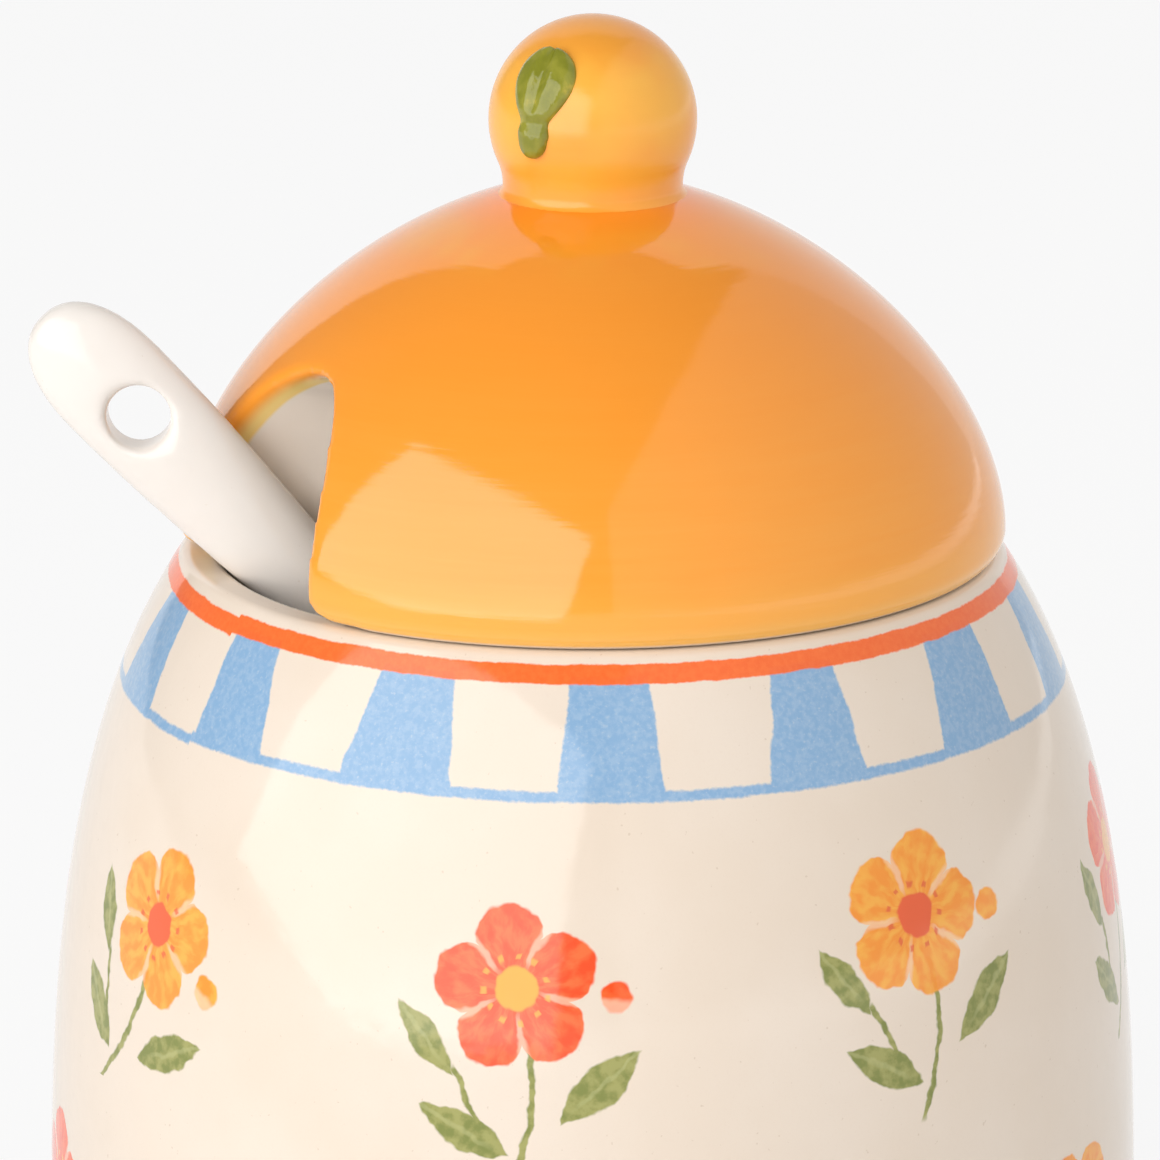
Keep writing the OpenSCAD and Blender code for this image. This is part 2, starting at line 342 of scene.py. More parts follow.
def makeCollar(dome):  # the thick clay behind the notch, kept inside the dome
    p = lid
    tall = p["seat"] + p["notchTop"] + p["collar"] - p["collarFoot"]
    side = risePoints(p["notchHalf"] + p["collar"], tall, p["collarFoot"], p["notchFull"], 0, 1, 30)
    outline = side + [(-across, z) for across, z in side[-2::-1]]
    collar = makeBar("collar", outline, p["collarIn"], p["radius"], False)
    shell = [(r * p["coreShare"], z - p["coreUnder"]) for r, z in dome[::3]]
    core = turnOnWheel("core", [(0, landZ - p["coreTop"]), *shell, (0, lidBase - p["coreUnder"])], 90)
    work(collar, "BOOLEAN", operation="INTERSECT", object=core, solver="EXACT")
    putAway(core)
    return collar


def distanceToNotch(points):  # how far each place is from the notch's wall
    out = points @ np.array(notchOut)
    front = lid["notchFront"]
    across = front + (points @ np.array(notchAcross) - front) / notchShare(out, "flare")
    height = lid["seat"] + (points[:, 2] - lid["seat"]) / notchShare(out, "flareUp")
    outline = np.array(notchOutline())
    best = np.full(len(points), 1e9)
    here = np.stack([across, height], 1)
    for a, b in zip(outline, outline[1:]):
        share = np.clip(((here - a) @ (b - a)) / ((b - a) @ (b - a)), 0, 1)
        best = np.minimum(best, np.linalg.norm(here - a - share[:, None] * (b - a), axis=1))
    return np.where(out > lid["radius"] / 3, best, 1e9)


def makeLid():
    p = lid
    flangeIn = p["flange"] - p["flangeWall"]
    low = p["seat"] - p["flangeDepth"]
    landU = bulge(p["landRadius"] / p["radius"], p["full"])
    dome = risePoints(p["radius"], p["rise"], lidBase, p["full"], landU, 0, p["domeSteps"])
    profile = [(0, landZ), (4, landZ)] + dome
    profile += arcPoints(p["radius"] - p["edge"], lidBase, p["edge"], 0, -90, 12)[1:]
    profile += [(p["flange"] + 0.4, p["seat"])]
    profile += arcPoints(p["flange"] - 1, low + 1, 1, 0, -90, 6)
    profile += arcPoints(flangeIn + 0.6, low + 0.6, 0.6, 270, 180, 5)
    profile += [(flangeIn, low + 3), (flangeIn, p["seat"])]
    profile += risePoints(flangeIn, landZ - p["wall"] - lidBase, lidBase, p["full"], 0, 1, p["insideSteps"])
    form = turnOnWheel("lidForm", profile, p["steps"])
    collar = makeCollar(dome)
    work(form, "BOOLEAN", operation="UNION", object=collar, solver="EXACT")
    takeUp(form)
    bpy.ops.object.duplicate()
    piece = bpy.context.object
    piece.name = piece.data.name = "lidDome"
    cutter = makeBar("notchCutter", notchOutline(), p["radius"] / 3, p["radius"] * 4 / 3, True)
    work(piece, "BOOLEAN", operation="DIFFERENCE", object=cutter, solver="EXACT")
    work(piece, "REMESH", mode="VOXEL", voxel_size=p["roundVoxel"] * mm)
    work(piece, "SMOOTH", factor=0.5, iterations=4)
    nearNotch = weigh(piece, "nearNotch", 1 - easeStep(*p["nearNotch"], distanceToNotch(places(piece))))
    work(piece, "SMOOTH", factor=0.5, iterations=p["rounding"], vertex_group=nearNotch)
    work(piece, "REMESH", mode="VOXEL", voxel_size=p["voxel"] * mm, use_smooth_shade=True)
    work(piece, "SMOOTH", factor=0.5, iterations=3)
    offNotch = weigh(piece, "offNotch", easeStep(*p["offNotch"], distanceToNotch(places(piece))))
    work(piece, "SHRINKWRAP", target=form, wrap_method="NEAREST_SURFACEPOINT", vertex_group=offNotch)
    putAway(form, collar, cutter)
    takeUp(piece)
    bpy.ops.object.shade_smooth()
    return piece


# the knob and its leaf

knob = {"ball": 9.3, "neck": 8.05, "ballUp": 6.7, "neckUp": 0.8, "fillet": 1.1, "sunk": 0.5, "steps": 160}
ballZ = landZ + knob["ballUp"]


def makeKnob():
    p = knob
    drop = p["ballUp"] - p["neckUp"]
    cove = (p["neck"] ** 2 + drop ** 2 - p["ball"] ** 2) / (2 * (p["ball"] - p["neck"]))
    neckZ = landZ + p["neckUp"]
    tangent = math.degrees(math.atan2(drop, p["neck"] + cove))  # below the ball's middle
    profile = [(0, landZ - p["sunk"]), (6, landZ - p["sunk"])]
    profile += arcPoints(p["neck"] + p["fillet"], neckZ, p["fillet"], 257, 180, 12)
    profile += arcPoints(p["neck"] + cove, neckZ, cove, 180, 180 - tangent, 14)[1:]
    profile += arcPoints(0, ballZ, p["ball"], -tangent, 90, 64)[1:]
    profile[-1] = (0, ballZ + p["ball"])
    return turnOnWheel("lidKnob", profile, p["steps"])


leaf = {
    "left": 33.0, "up": 28.0, "turn": -3.0, "length": 7.0, "width": 5.9, "stalk": 2.95, "stalkLength": 2.6,
    "thick": 0.95, "leastThick": 0.06, "bladePast": 0.3, "widest": 0.76, "blunt": 0.6, "bulb": 1.7,
    "waist": 1.15, "groove": 0.5, "grooveWidth": 0.15, "pinch": 0.35, "pinchUp": 0.2, "pinchWidth": 0.5,
    "sunk": 0.06, "columns": 48, "rows": 26,
}


def leafHalfWidth(x):  # x from the blade's tip to the stalk's end
    p = leaf
    tip, foot, end = -p["length"] / 2, p["length"] / 2 + p["bladePast"], p["length"] / 2 + p["stalkLength"]
    t = min(1.0, max(0.0, (x - tip) / (foot - tip)))
    blade = p["width"] / 2 * max(0.0, math.sin(math.pi * t ** p["widest"])) ** p["blunt"]
    bulbMid = end - p["bulb"]
    bulb = p["stalk"] / 2 * math.sqrt(max(0.0, 1 - ((x - bulbMid) / (end - bulbMid)) ** 2))
    neck = p["waist"] if tip + 3 < x < bulbMid else 0.0
    return max((blade ** 4 + bulb ** 4 + neck ** 4) ** 0.25, 0.02)


def makeLeaf(ball):
    p = leaf
    tip, end = -p["length"] / 2, p["length"] / 2 + p["stalkLength"]
    bpy.ops.object.select_all(action="DESELECT")
    bpy.ops.mesh.primitive_grid_add(x_subdivisions=p["columns"], y_subdivisions=p["rows"], size=1)
    piece = bpy.context.object
    piece.name = piece.data.name = "leafSprig"
    bpy.ops.object.mode_set(mode="EDIT")
    bpy.ops.mesh.select_all(action="SELECT")
    bpy.ops.transform.resize(value=((end - tip) * mm, mm, mm), center_override=(0, 0, 0))
    bpy.ops.transform.translate(value=((tip + end) / 2 * mm, 0, (knob["ball"] + 3) * mm))
    mesh = bmesh.from_edit_mesh(piece.data)
    columns = sorted({round(v.co.x / mm, 4) for v in mesh.verts})
    for x in columns:  # each column is scaled to the leaf's width there
        bpy.ops.mesh.select_all(action="DESELECT")
        for v in mesh.verts:
            v.select = abs(v.co.x / mm - x) < 0.01
        mesh.select_flush_mode()
        bpy.ops.transform.resize(value=(1, 2 * leafHalfWidth(x), 1), center_override=(0, 0, 0))
    bpy.ops.object.mode_set(mode="OBJECT")
    spots = places(piece)
    halves = np.array([leafHalfWidth(x) for x in spots[:, 0]])
    v = np.clip(spots[:, 1] / halves, -1, 1)
    onBlade = 1 - easeStep(p["length"] / 2 - 1.8, p["length"] / 2 - 0.6, spots[:, 0])
    puff = np.sqrt(np.clip(1 - v ** 2, 0, 1)) * np.minimum(1, halves / 1.2) ** 0.7
    puff *= 1 - p["groove"] * onBlade * np.exp(-(v / p["grooveWidth"]) ** 2)
    fromWaist = spots[:, 0] - p["length"] / 2 + p["pinchUp"]
    puff *= 1 - p["pinch"] * np.exp(-(fromWaist / p["pinchWidth"]) ** 2)
    puffed = weigh(piece, "puffed", np.clip(puff, 0, 1))
    around = Matrix.Rotation(math.radians(-90 - p["left"]), 4, "Z")
    tipped = Matrix.Rotation(math.radians(90 - p["up"]), 4, "Y")
    turned = Matrix.Rotation(math.radians(p["turn"]), 4, "Z")
    piece.matrix_world = Matrix.Translation((0, 0, ballZ * mm)) @ (around @ tipped) @ turned
    bpy.context.view_layer.update()
    work(piece, "SHRINKWRAP", target=ball, wrap_method="PROJECT", use_project_z=True,
         use_positive_direction=False, use_negative_direction=True, offset=-p["sunk"] * mm)
    work(piece, "SOLIDIFY", thickness=p["thick"] * mm, offset=1, vertex_group=puffed,
         thickness_vertex_group=p["leastThick"])
    work(piece, "SMOOTH", factor=0.5, iterations=3)
    takeUp(piece)
    bpy.ops.object.transform_apply(location=True, rotation=True, scale=True)
    bpy.ops.object.mode_set(mode="EDIT")
    bpy.ops.mesh.select_all(action="SELECT")
    bpy.ops.mesh.normals_make_consistent(inside=False)
    bpy.ops.object.mode_set(mode="OBJECT")
    bpy.ops.object.shade_smooth()
    return piece


# the spoon, along X from its hanging hole and then leaned into the notch

spoon = {
    "hole": (-40.07, -10.9, 99.70), "lean": 43.5, "half": 5.4, "neck": 3.5, "easeFrom": -3.0, "taper": 38.0,
    "end": 12.2, "endFull": 2.3, "endThin": 0.62, "endTurn": 86, "endSteps": 14, "thick": 2.7,
    "thinBy": 0.7, "thinFrom": 62, "thinOver": 24, "holeRadius": 2.85, "holeFlare": 1.1, "drill": 9,
    "toBowl": 99.98, "handleTo": 86.0, "handleSteps": 44,
    "eggLength": 17.96, "eggRadius": 10.776, "eggUp": 5.476, "bowlRim": 1.0, "bowlWall": 2.2, "voxel": 0.3,
}


def handleHalf(s):
    p = spoon
    t = min(1.0, max(0.0, (s - p["easeFrom"]) / p["taper"]))
    return p["neck"] + (p["half"] - p["neck"]) * (1 + math.cos(math.pi * t)) / 2


def handleSections():  # (distance, half width, half thickness), from the bowl to the handle's end
    p = spoon
    steps, endSteps = p["handleSteps"], p["endSteps"]
    sections = []
    for i in range(steps + 1):
        s = p["handleTo"] - i * (p["handleTo"] - p["easeFrom"]) / steps
        thin = p["thinBy"] * max(0.0, (s - p["thinFrom"]) / p["thinOver"])
        sections.append((s, handleHalf(s), p["thick"] - thin))
    reach = p["end"] + p["easeFrom"]
    for i in range(1, endSteps + 1):
        a = math.radians(p["endTurn"] * i / endSteps)
        sections.append((p["easeFrom"] - reach * math.sin(a) ** (2 / p["endFull"]),
                         p["half"] * math.cos(a) ** (2 / p["endFull"]),
                         p["thick"] * math.cos(a) ** p["endThin"]))
    return sections


def makeHandle():
    sections = handleSections()
    bpy.ops.object.select_all(action="DESELECT")
    bpy.ops.mesh.primitive_circle_add(vertices=72, radius=mm, rotation=(0, math.pi / 2, 0))
    piece = bpy.context.object
    piece.name = piece.data.name = "jarSpoon"
    bpy.ops.object.transform_apply(location=True, rotation=True, scale=True)
    bpy.ops.object.mode_set(mode="EDIT")
    bpy.ops.mesh.select_all(action="SELECT")
    at, wide, thick = sections[0]
    bpy.ops.transform.resize(value=(1, wide, thick), center_override=(0, 0, 0))
    bpy.ops.transform.translate(value=(at * mm, 0, 0))
    bpy.ops.mesh.edge_face_add()
    for (s0, w0, t0), (s1, w1, t1) in zip(sections, sections[1:]):
        bpy.ops.mesh.extrude_region_move(TRANSFORM_OT_translate={"value": ((s1 - s0) * mm, 0, 0)})
        bpy.ops.transform.resize(value=(1, w1 / w0, t1 / t0), center_override=(s1 * mm, 0, 0))
    bpy.ops.mesh.select_all(action="DESELECT")
    bpy.ops.mesh.select_mode(type="EDGE")
    bpy.ops.mesh.select_non_manifold()
    bpy.ops.mesh.edge_face_add()
    bpy.ops.mesh.select_mode(type="VERT")
    bpy.ops.mesh.select_all(action="SELECT")
    bpy.ops.mesh.normals_make_consistent(inside=False)
    bpy.ops.object.mode_set(mode="OBJECT")
    return piece


def makeBowl():
    p = spoon
    bpy.ops.object.select_all(action="DESELECT")
    bpy.ops.mesh.primitive_uv_sphere_add(segments=96, ring_count=48, radius=mm)
    piece = bpy.context.object
    piece.name = piece.data.name = "spoonBowl"
    bpy.ops.object.mode_set(mode="EDIT")
    bpy.ops.mesh.select_all(action="SELECT")
    egg = (p["eggLength"], p["eggRadius"], p["eggRadius"])
    bpy.ops.transform.resize(value=egg, center_override=(0, 0, 0))
    bpy.ops.transform.translate(value=(p["toBowl"] * mm, 0, p["eggUp"] * mm))
    bpy.ops.mesh.select_all(action="SELECT")
    bpy.ops.mesh.bisect(plane_co=(0, 0, p["bowlRim"] * mm), plane_no=(0, 0, 1), clear_outer=True)
    bpy.ops.object.mode_set(mode="OBJECT")
    work(piece, "SOLIDIFY", thickness=p["bowlWall"] * mm, offset=-1, use_even_offset=True)
    return piece


def makeSpoon():
    p = spoon
    piece = makeHandle()
    bowl = makeBowl()
    work(piece, "BOOLEAN", operation="UNION", object=bowl, solver="EXACT")
    flare, mouth = p["holeFlare"], p["thick"] - p["holeFlare"]
    wide = p["holeRadius"] + flare
    side = arcPoints(wide, mouth, flare, 180, 90, 8) + [(wide, p["drill"])]
    below = [(r, -z) for r, z in side[::-1]]
    drill = turnOnWheel("drill", [(0, -p["drill"]), *below, *side, (0, p["drill"])], 64)
    work(piece, "BOOLEAN", operation="DIFFERENCE", object=drill, solver="EXACT")
    putAway(bowl, drill)
    work(piece, "REMESH", mode="VOXEL", voxel_size=p["voxel"] * mm, use_smooth_shade=True)
    work(piece, "SMOOTH", factor=0.5, iterations=14)
    lean = math.radians(p["lean"])
    along, up = Vector((math.sin(lean), 0, -math.cos(lean))), Vector((0, -1, 0))
    leaned = Matrix((along, up.cross(along), up)).transposed().to_4x4()
    piece.matrix_world = Matrix.Translation(Vector(p["hole"]) * mm) @ leaned
    takeUp(piece)
    bpy.ops.object.transform_apply(location=True, rotation=True, scale=True)
    bpy.ops.object.shade_smooth()
    return piece


# glazes

cream = (0.86, 0.75, 0.635)
blossom = {
    "step": 45.0, "shift": 14, "rowSplit": 42.0, "rowShift": 22.5, "row": 26, "rowUp": 30.5,
    "strayAcross": 3, "strayUp": 4, "tilt": 0.9, "middleUp": 3.2, "wobble": 1.1, "wobbleScale": 0.55,
    "petal": 4.7, "lobe": 2.5, "lobeSharp": 0.55, "heart": (1.75, 2.05), "dots": (2.55, 3.05),
    "leaves": (((5.6, -9.6), 32, 9.4, 3.5), ((-6.6, -11.4), 142, 8.8, 3.3), ((-8.6, -3.0), 118, 7.6, 2.8)),
    "bud": (8.4, 2.2), "budSize": (1.25, 1.55), "from": 9.5, "to": 71,
    "redDeep": (0.92, 0.075, 0.008), "redLight": (0.98, 0.165, 0.04),
    "amberDeep": (0.96, 0.31, 0.018), "amberLight": (0.99, 0.45, 0.05), "fold": (0.98, 0.72, 0.52),
    "redHeart": (0.97, 0.42, 0.03), "amberHeart": (0.85, 0.11, 0.02),
    "redDots": (0.97, 0.45, 0.05), "amberDots": (0.8, 0.1, 0.02),
    "leafDeep": (0.20, 0.235, 0.035), "leafLight": (0.36, 0.36, 0.10), "vein": (0.55, 0.55, 0.24),
}


def lensShape(a, b, middle, turnDeg, length, width):  # a pointed leaf: mask and vein
    c, s = math.cos(math.radians(turnDeg)), math.sin(math.radians(turnDeg))
    along = (a - middle[0]) * c + (b - middle[1]) * s
    side = (b - middle[1]) * c - (a - middle[0]) * s
    t = along / (length / 2)
    edge = (1 - t * t) * (width / 2) - abs(side)
    return edge.over(-0.12, 0.16), abs(side).under(0.06, 0.3) * along.over(-length * 0.4, -length * 0.1)


def paintBlossoms(g, ground, outside):
    p = blossom
    step = p["step"]
    wobble = g.grain(g.place, p["wobbleScale"], 2) - 0.5
    aside = g.node("ShaderNodeVectorMath", {}, {0: g.place, 1: (31, 17, 53)})
    wobbleToo = g.grain(aside, p["wobbleScale"], 2) - 0.5
    upper = g.z.math("GREATER_THAN", p["rowSplit"])
    cell = (g.turn - p["shift"] + upper * p["rowShift"]) / step
    nearest = (cell + 0.5).math("FLOOR")
    number = nearest.math("WRAP", 180 / step, -180 / step)
    key = number + upper * 40
    lot = g.chance(key, 3.0)
    across = (cell - nearest) * (step * math.pi / 180) * g.round
    a = across + (lot - 0.5) * p["strayAcross"] + wobble * p["wobble"]
    stray = (g.chance(key, 8.0) - 0.5) * p["strayUp"]
    b = g.z - p["row"] - upper * p["rowUp"] + stray + wobbleToo * p["wobble"]
    tilt = (g.chance(key, 5.0) - 0.5) * p["tilt"]
    c, s = tilt.math("COSINE"), tilt.math("SINE")
    u, v = a * c + b * s, b * c - a * s
    v = v - p["middleUp"]
    rho = (u * u + v * v).math("SQRT")
    theta = v.math("ARCTAN2", u) + lot * 6
    lobe = abs((theta * 2.5).math("COSINE"))  # five petals
    petals = (rho / (lobe ** p["lobeSharp"] * p["lobe"] + p["petal"])).under(0.975, 1.02)
    fold = lobe.under(0.1, 0.3) * rho.over(1.6, 3.0)
    amber = (number * 0.5).math("FRACT").over(0.2, 0.3)  # every other flower
    strokes = g.grain(g.spot(theta * 2.2, rho * 0.22, key * 3.7), 2.4, 3)
    deep = g.blend(amber, p["redDeep"], p["amberDeep"])
    light = g.blend(amber, p["redLight"], p["amberLight"])
    petalColour = g.blend(strokes.over(0.36, 0.68), deep, light)
    petalColour = g.blend(fold * 0.55, petalColour, p["fold"])
    heart = rho.under(*p["heart"])
    dots = rho.between(*p["dots"], 0.14) * (theta * 11).math("COSINE").over(0.35, 0.75)
    petalColour = g.blend(dots * 0.8, petalColour, g.blend(amber, p["redDots"], p["amberDots"]))
    petalColour = g.blend(heart, petalColour, g.blend(amber, p["redHeart"], p["amberHeart"]))
    stem = abs(u + (v + 5) * (v + 5) * 0.028 - 0.3).under(0.2, 0.42) * v.between(-17.2, -4, 0.3)
    twig = abs(u + 5.6 + (v + 9.5) * 0.28).under(0.14, 0.36) * v.between(-12.5, -5.6, 0.3)
    leafParts = [lensShape(u, v, *spec) for spec in p["leaves"]]
    greens, veins = stem.math("MAXIMUM", twig), None
    for mask, vein in leafParts:
        greens = greens.math("MAXIMUM", mask)
        veins = vein * mask if veins is None else veins.math("MAXIMUM", vein * mask)
    dab = g.grain(g.place, 0.9, 3)
    greenColour = g.blend(dab.over(0.35, 0.65), p["leafDeep"], p["leafLight"])
    greenColour = g.blend(veins * 0.35, greenColour, p["vein"])
    budAcross, budUp = u - p["bud"][0], v + p["bud"][1]
    bud = (budAcross * budAcross + budUp * budUp).math("SQRT")
    onWall = g.z.between(p["from"], p["to"], 0.3) * outside
    painted = g.blend(greens * onWall * 0.96, ground, greenColour)
    painted = g.blend(bud.under(*p["budSize"]) * onWall, painted, petalColour)
    return g.blend(petals * onWall * 0.97, painted, petalColour)


# degrees from each block's middle to its four corners: left top, right top, left foot, right foot
border = {
    -7: (-5.2, 4.6, -6.6, 6.9), -6: (-4.6, 5.4, -7.2, 6.2), -5: (-5.4, 4.9, -6.9, 7.2),
    -4: (-4.8, 5.2, -7.4, 6.5), -3: (-3.0, 6.6, -5.9, 8.2), -2: (-5.0, 4.2, -5.6, 6.9),
    -1: (-4.8, 5.5, -7.5, 7.1), 0: (-5.1, 5.1, -6.4, 6.3), 1: (-4.7, 4.5, -7.0, 6.1),
    2: (-5.1, 6.0, -8.0, 6.2), 3: (-5.5, 4.2, -7.8, 4.4), 4: (-4.4, 5.3, -6.2, 6.8),
    5: (-5.3, 4.7, -7.1, 6.0), 6: (-4.9, 5.6, -6.4, 7.3),
}
band = {  # heights on the pot, in millimetres, and colours
    "block": (73.6, 83.2), "footLine": (73.45, 74.3), "line": (82.61, 84.12), "top": 82.6, "tall": 9.2,
    "turn": 2.2, "seam": -55.4, "sagFrom": -85, "sag": 0.28, "wobble": 0.35,
    "blueDeep": (0.235, 0.43, 0.675), "blueLight": (0.315, 0.495, 0.705), "bluePale": (0.55, 0.64, 0.72),
    "orangeDeep": (0.97, 0.14, 0.008), "orangeLight": (1.0, 0.17, 0.018),
}


def potGlaze():
    g = Glaze("potGlaze", IOR=1.52)
    p = band
    cloud = g.grain(g.place, 0.06, 3)
    ground = g.blend(cloud.over(0.3, 0.7), cream, (0.835, 0.715, 0.59))
    speck = g.grain(g.place, 2.1, 1)
    ground = g.blend(speck.over(0.75, 0.8) * 0.35, ground, (0.56, 0.42, 0.29))
    ground = g.blend(g.grain(g.place, 5.0, 2).over(0.5, 0.8) * 0.18, ground, (0.80, 0.66, 0.53))
    up = (g.z - pot["bellyZ"]).math("MAXIMUM", 0.0) / potRise
    wallRadius = (1 - up ** pot["full"]) ** (1 / pot["full"]) * pot["belly"]
    outside = (g.round - wallRadius).over(-1.8, -1.3)  # the print is on the outer face only
    ground = paintBlossoms(g, ground, outside)
    wobble = g.grain(g.place, 0.35, 2) - 0.5
    rag = g.grain(g.place, 2.6, 2) - 0.5
    beforeSeam = g.turn.math("LESS_THAN", p["seam"])  # where the border's two ends meet
    sag = g.turn.over(p["sagFrom"], p["seam"]) * beforeSeam
    height = g.z + sag * p["sag"] + wobble * p["wobble"]
    step = 360 / len(border)
    cell = (g.turn - p["turn"]) / step
    nearest = (cell + 0.5).math("FLOOR")
    degrees = (cell - nearest) * step
    number = nearest.math("WRAP", max(border) + 1, min(border))
    down = (height - p["top"]) / -p["tall"]  # 0 at the line, 1 at the border's foot
    chosen = [abs(number - k).math("LESS_THAN", 0.5) for k in border]
    leftTop, rightTop, leftFoot, rightFoot = (
        sum(pick * corners[i] for pick, corners in zip(chosen, border.values())) for i in range(4))
    edgeWobble = (g.grain(g.spot(number, g.z * 0.16, 7), 1.6, 2) - 0.5) * 1.0 + rag * 0.3
    arc = math.pi / 180
    toLeft = (degrees - leftTop + (leftTop - leftFoot) * down) * arc * g.round + edgeWobble
    toRight = (degrees - rightTop + (rightTop - rightFoot) * down) * arc * g.round + edgeWobble
    block = toLeft.over(-0.12, 0.14) * toRight.under(-0.14, 0.12)
    block = block * height.between(*p["block"], 0.12)
    footLine = (height + rag * 0.3).between(*p["footLine"], 0.14)
    blueMask = block.math("MAXIMUM", footLine) * outside
    mottle = g.grain(g.place, 1.7, 4, 0.62)
    blue = g.blend(mottle.over(0.38, 0.66), p["blueDeep"], p["blueLight"])
    blue = g.blend(g.grain(g.place, 3.4, 2).over(0.62, 0.74) * 0.3, blue, p["bluePale"])
    colour = g.blend(blueMask * 0.97, ground, blue)
    line = (height + rag * 0.16).between(*p["line"], 0.09) * outside
    lineColour = g.blend(mottle.over(0.3, 0.7), p["orangeDeep"], p["orangeLight"])
    colour = g.blend(line * 0.97, colour, lineColour)
    bare = g.z.under(0.25, 0.7) * g.round.over(30, 31)  # the foot ring is left unglazed
    clay = g.blend(g.grain(g.place, 1.2, 4).over(0.3, 0.7), (0.62, 0.5, 0.38), (0.72, 0.6, 0.47))
    colour = g.blend(bare, colour, clay)
    rough = g.grain(g.place, 0.5, 2) * 0.05 + 0.07 + bare * 0.55
    g.give(Base_Color=colour, Roughness=rough)
    inked = blueMask.math("MAXIMUM", line)
    unevenness = cloud * 0.5 + g.grain(g.place, 0.3, 2) * 0.25 + inked * 0.012
    g.bump(unevenness + bare * g.grain(g.place, 4, 3) * 0.2, 0.22, 0.0006)
    return g.material


def orangeGlaze(name):  # brushed on in turns, so its streaks lie level
    g = Glaze(name, IOR=1.6)
    drift = g.grain(g.spot(g.x * 0.05, g.y * 0.05, g.z * 0.6), 1.0, 3, 0.6)
    fine = g.grain(g.spot(g.x * 0.06, g.y * 0.06, g.z * 2.6), 1.0, 3, 0.65)
    pool = g.grain(g.place, 0.07, 2)
    colour = g.blend(drift.over(0.3, 0.7), (1.0, 0.372, 0.034), (1.0, 0.388, 0.042))
    colour = g.blend(fine.over(0.45, 0.75) * 0.2, colour, (1.0, 0.415, 0.055))
    colour = g.blend(pool.over(0.5, 0.75) * 0.25, colour, (0.99, 0.335, 0.022))
    return g, colour, fine


def lidGlaze():
    g, colour, fine = orangeGlaze("lidGlaze")
    p = lid
    across = g.round / p["radius"]
    above = (g.z - lidBase).math("MAXIMUM", 0.0) / p["rise"]
    depthIn = (across ** p["full"] + above ** p["full"]) ** (1 / p["full"])  # 1 on the outer face
    colour = g.blend(g.z.over(88, 111) * 0.75, colour, (1.0, 0.32, 0.02))
    # painted shade: deeper orange round the knob's foot stands for the knob's shadow and reflection on the
    # dome
    knobShadeMask = g.round.under(9.5, 15)
    colour = g.blend(knobShadeMask * 0.35, colour, (0.98, 0.28, 0.012))
    patches = g.grain(g.spot(g.x * 0.12, g.y * 0.12, 3), 1.0, 2).over(0.4, 0.7)
    ring = g.round.between(12.5, 17.5, 1.8) * patches
    colour = g.blend(ring * 0.55, colour, (0.97, 0.42, 0.035))
    thin = g.z.under(87.2, 91.5)
    colour = g.blend(thin * 0.55, colour, (0.99, 0.46, 0.06))
    thin = g.z.under(85.6, 87.3)
    colour = g.blend(thin * 0.6, colour, (0.98, 0.58, 0.12))
    depthIn = depthIn + (g.grain(g.place, 0.25, 2) - 0.5) * 0.008
    toNotch = depthIn.under(0.935, 0.98)  # glaze thins where the wall turns in at the notch
    colour = g.blend(toNotch * 0.95, colour, (1.0, 0.75, 0.27))
    # the lid's inside is cream glaze, painted paler than the pot's cream: painted light for the shaded face
    # seen through the notch
    insideMask = depthIn.under(0.914, 0.926).math("MAXIMUM", g.z.under(85.15, 85.6))
    inner = g.blend(g.grain(g.place, 0.08, 3).over(0.3, 0.7), (0.96, 0.87, 0.77), (0.94, 0.84, 0.73))
    colour = g.blend(insideMask, colour, inner)
    bare = g.z.between(84.6, 85.2, 0.1) * g.round.over(33.2, 33.6)  # the seat is wiped clean before firing
    colour = g.blend(bare, colour, (0.70, 0.58, 0.45))
    rough = g.grain(g.place, 0.4, 2) * 0.05 + 0.05 + bare * 0.5
    g.give(Base_Color=colour, Roughness=rough)
    g.bump(fine * 0.12 + g.grain(g.place, 0.12, 2) * 0.5, 0.15, 0.0006)
    return g.material


def knobGlaze():
    g, colour, fine = orangeGlaze("knobGlaze")
    colour = g.blend(g.grain(g.place, 0.12, 2).over(0.1, 0.7) * 0.95, colour, (1.0, 0.49, 0.055))
    # painted reflection: the ball's top is painted deeper orange, standing for the dark space above reflected
    # in it
    darkTopShade = (g.z + (g.grain(g.place, 0.2, 2) - 0.5) * 4).over(129, 131.5)
    colour = g.blend(darkTopShade * 0.5, colour, (0.95, 0.29, 0.012))
    waist = g.z.under(118.2, 120.5)
    colour = g.blend(waist * 0.35, colour, (0.98, 0.29, 0.015))
    g.give(Base_Color=colour, Roughness=g.grain(g.place, 0.5, 2) * 0.06 + 0.19)
    g.bump(fine * 0.12 + g.grain(g.place, 0.2, 2) * 0.5, 0.15, 0.0006)
    return g.material


def leafGlaze():
    g = Glaze("leafGlaze", IOR=1.52)
    dab = g.grain(g.place, 0.55, 3)
    colour = g.blend(dab.over(0.35, 0.65), (0.225, 0.235, 0.016), (0.31, 0.305, 0.032))
    colour = g.blend(dab.over(0.62, 0.74) * 0.7, colour, (0.55, 0.44, 0.05))
    g.give(Base_Color=colour, Roughness=g.grain(g.place, 1.0, 2) * 0.06 + 0.05)
    g.bump(g.grain(g.place, 0.9, 3), 0.2, 0.0004)
    return g.material


